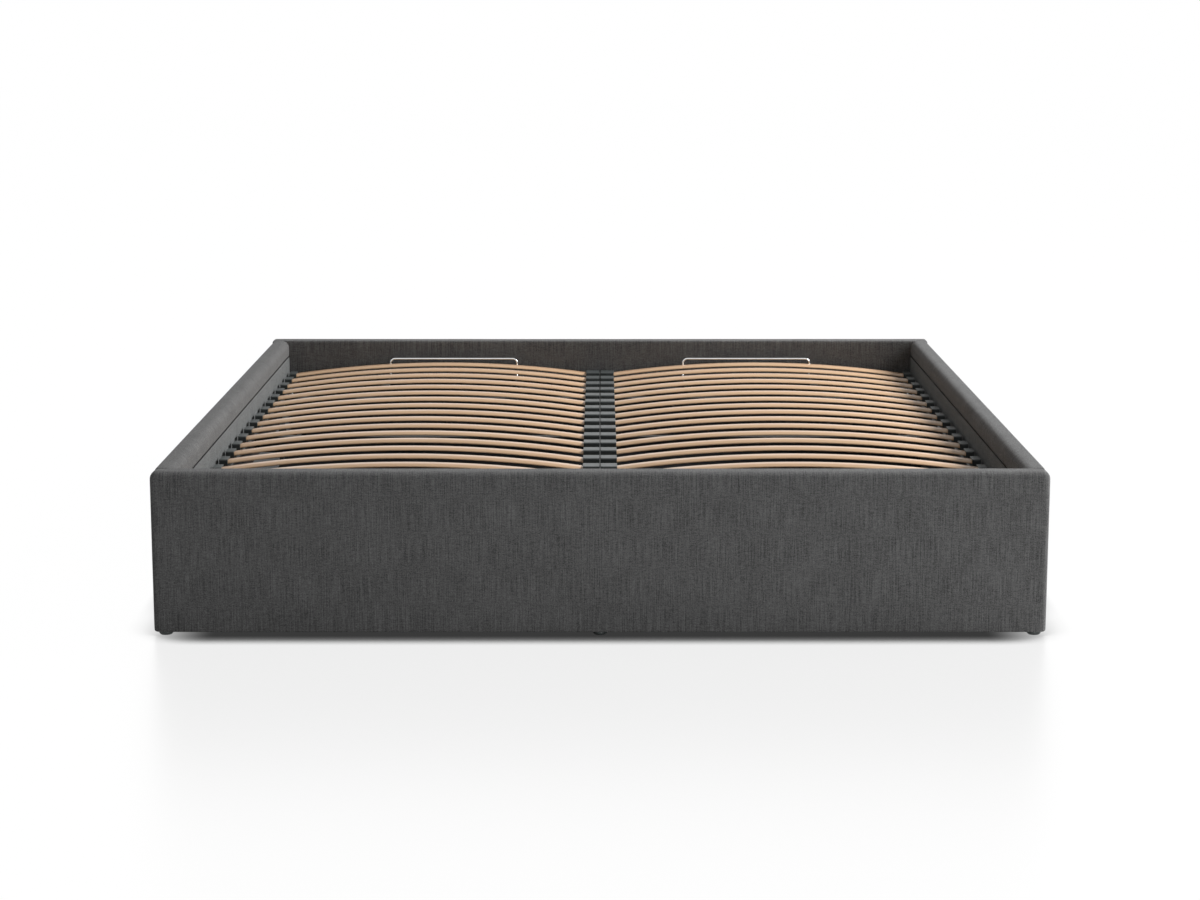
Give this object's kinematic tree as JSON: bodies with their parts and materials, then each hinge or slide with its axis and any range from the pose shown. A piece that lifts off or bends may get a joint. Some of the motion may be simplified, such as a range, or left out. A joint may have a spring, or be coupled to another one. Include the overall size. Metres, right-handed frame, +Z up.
{
  "type": "storage bed",
  "caption": "Low upholstered bed frame with a sprung slat platform that lifts on gas struts over a storage compartment.",
  "frame": {"origin": "on the floor, under the middle of the bed", "axes": "+X to the right seen from the foot, +Y from the foot to the head (hinge end), +Z up"},
  "size_m": [1.9, 2.1, 0.355],
  "materials": {
    "charcoal_fabric": "woven charcoal melange upholstery over thin foam",
    "lining_cloth": "flat dark grey lining",
    "chipboard": "raw board, hidden",
    "pine": "planed softwood",
    "floor_board": "thin dark faced board",
    "beech": "bent laminated beech, satin",
    "black_steel": "satin black powder coat",
    "zinc_steel": "zinc plated",
    "bright_wire": "bright plated",
    "black_plastic": "moulded, matt dark grey",
    "strap_webbing": "woven black webbing"
  },
  "bodies": {
    "frame": {"front_panel_cover": "charcoal_fabric", "rear_panel_cover": "charcoal_fabric", "side_rail_cover_left": "charcoal_fabric", "side_rail_cover_right": "charcoal_fabric", "side_rail_lining_left": "lining_cloth", "side_rail_lining_right": "lining_cloth", "front_panel_board": "chipboard", "rear_panel_board": "chipboard", "side_rail_board_left": "chipboard", "side_rail_board_right": "chipboard", "floor_battens": "pine", "floor_beam": "pine", "side_ledge_left": "pine", "side_ledge_right": "pine", "front_ledge": "pine", "floor_panel_front_left": "floor_board", "floor_panel_front_right": "floor_board", "floor_panel_rear_left": "floor_board", "floor_panel_rear_right": "floor_board", "hinge_plate_left": "black_steel", "hinge_plate_right": "black_steel", "corner_brackets": "black_steel", "corner_bolts": "zinc_steel", "hinge_plate_bolts": "zinc_steel", "pivot_pins": "zinc_steel", "strut_base_pins": "zinc_steel", "floor_glides": "black_plastic"},
    "platform": {"slats_left": "beech", "slats_right": "beech", "platform_centre_tube": "black_steel", "platform_front_tube": "black_steel", "platform_rear_tube": "black_steel", "platform_side_tube_left": "black_steel", "platform_side_tube_right": "black_steel", "platform_cross_tubes_left": "black_steel", "platform_cross_tubes_right": "black_steel", "lift_arm_left": "black_steel", "lift_arm_right": "black_steel", "arm_bolts": "zinc_steel", "strut_rod_pins": "zinc_steel", "strap_rivets": "zinc_steel", "mattress_retainer_left": "bright_wire", "mattress_retainer_right": "bright_wire", "side_slat_holders_left": "black_plastic", "side_slat_holders_right": "black_plastic", "centre_slat_holders_left": "black_plastic", "centre_slat_holders_right": "black_plastic", "tube_caps": "black_plastic", "retainer_clamps": "black_plastic", "pull_strap": "strap_webbing"},
    "strut_cylinder_left": {"strut_cylinder_left": "black_steel", "strut_guide_left": "black_plastic"},
    "strut_cylinder_right": {"strut_cylinder_right": "black_steel", "strut_guide_right": "black_plastic"},
    "strut_rod_left": {"strut_rod_left": "bright_wire", "strut_rod_eye_left": "zinc_steel"},
    "strut_rod_right": {"strut_rod_right": "bright_wire", "strut_rod_eye_right": "zinc_steel"}
  },
  "joints": [
    {"name": "platform_lift", "type": "hinge", "parent": "frame", "child": "platform", "pos_m": [0, 0.77, 0.23], "axis": [-1, 0, 0], "range_deg": [0, 45]},
    {"name": "strut_base_left", "type": "hinge", "parent": "frame", "child": "strut_cylinder_left", "pos_m": [-0.879, 0.77558, 0.0701], "axis": [-1, 0, 0], "range_deg": [0, 22.5]},
    {"name": "strut_top_left", "type": "hinge", "parent": "platform", "child": "strut_rod_left", "pos_m": [-0.879, 0.61965, 0.17528], "axis": [-1, 0, 0], "range_deg": [-22.5, 0]},
    {"name": "strut_base_right", "type": "hinge", "parent": "frame", "child": "strut_cylinder_right", "pos_m": [0.879, 0.77558, 0.0701], "axis": [-1, 0, 0], "range_deg": [0, 22.5]},
    {"name": "strut_top_right", "type": "hinge", "parent": "platform", "child": "strut_rod_right", "pos_m": [0.879, 0.61965, 0.17528], "axis": [-1, 0, 0], "range_deg": [-22.5, 0]}
  ],
  "couplings": [
    {"joint": "strut_base_left", "follows": "platform_lift", "ratio": 0.5},
    {"joint": "strut_top_left", "follows": "platform_lift", "ratio": -0.5},
    {"joint": "strut_base_right", "follows": "platform_lift", "ratio": 0.5},
    {"joint": "strut_top_right", "follows": "platform_lift", "ratio": -0.5}
  ]
}
